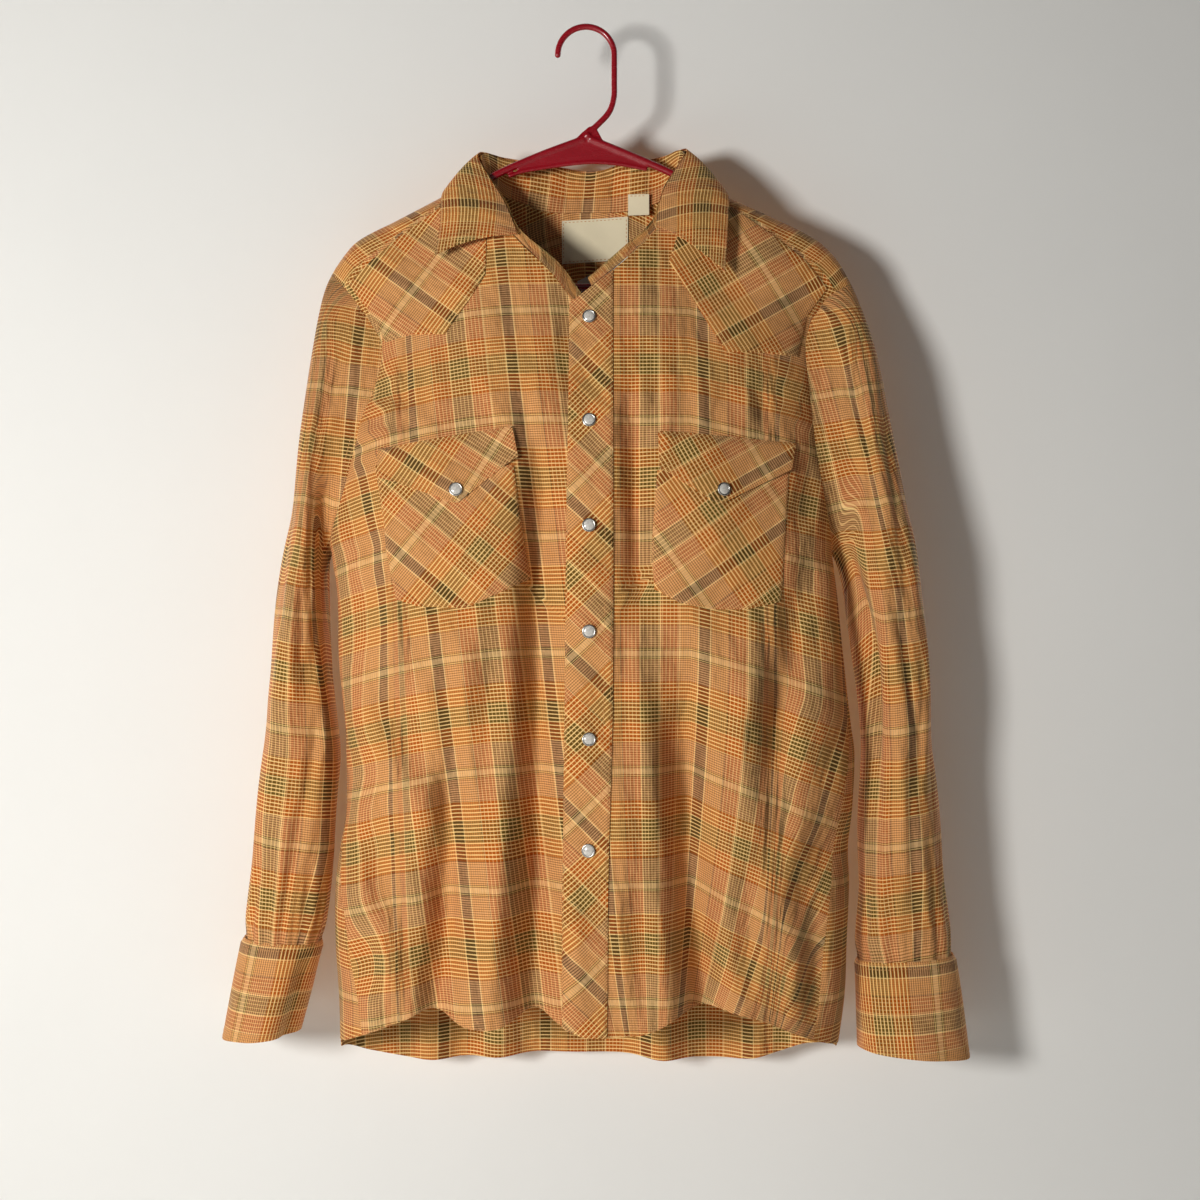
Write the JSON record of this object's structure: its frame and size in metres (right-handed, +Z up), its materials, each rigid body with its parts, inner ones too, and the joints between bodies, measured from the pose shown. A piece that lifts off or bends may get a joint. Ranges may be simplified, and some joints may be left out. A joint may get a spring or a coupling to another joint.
{
  "type": "western snap shirt on a hanger",
  "caption": "Long-sleeved plaid western shirt with pointed yokes, flapped chest pockets and pearl snaps, hanging on a red plastic hanger.",
  "frame": {"origin": "inner top of the hanger's hook, where a rail or nail carries it", "axes": "+Z up, +X to the right of a viewer who faces the shirt's front, -Y out of the shirt's front"},
  "size_m": [0.6335, 0.1363, 0.8886],
  "materials": {
    "plaid_cotton": "fine woven plaid in rust, olive, tan and cream, soft and matt",
    "label_tape": "plain cream woven tape, blank",
    "snap_pearl": "grey-white pearl cap in a thin bright metal ring",
    "hanger_plastic": "deep glossy crimson moulded plastic"
  },
  "bodies": {
    "root": {"front_left": "plaid_cotton", "front_right": "plaid_cotton", "back_body": "plaid_cotton", "back_yoke": "plaid_cotton", "front_placket": "plaid_cotton", "front_yoke_left": "plaid_cotton", "front_yoke_right": "plaid_cotton", "pocket_left": "plaid_cotton", "pocket_right": "plaid_cotton", "pocket_flap_left": "plaid_cotton", "pocket_flap_right": "plaid_cotton", "collar_stand": "plaid_cotton", "collar_fall": "plaid_cotton", "sleeve_left": "plaid_cotton", "sleeve_right": "plaid_cotton", "cuff_left": "plaid_cotton", "cuff_right": "plaid_cotton", "neck_label": "label_tape", "care_strip": "label_tape", "size_tag": "label_tape", "hanger_hook": "hanger_plastic", "hanger_arm_left": "hanger_plastic", "hanger_arm_right": "hanger_plastic", "hanger_bar": "hanger_plastic", "hanger_web": "hanger_plastic", "front_snap_1": "snap_pearl", "front_snap_2": "snap_pearl", "front_snap_3": "snap_pearl", "front_snap_4": "snap_pearl", "front_snap_5": "snap_pearl", "front_snap_6": "snap_pearl", "pocket_snap_left": "snap_pearl", "pocket_snap_right": "snap_pearl", "cuff_snap_left_1": "snap_pearl", "cuff_snap_left_2": "snap_pearl", "cuff_snap_left_3": "snap_pearl", "cuff_snap_right_1": "snap_pearl", "cuff_snap_right_2": "snap_pearl", "cuff_snap_right_3": "snap_pearl"}
  },
  "joints": []
}
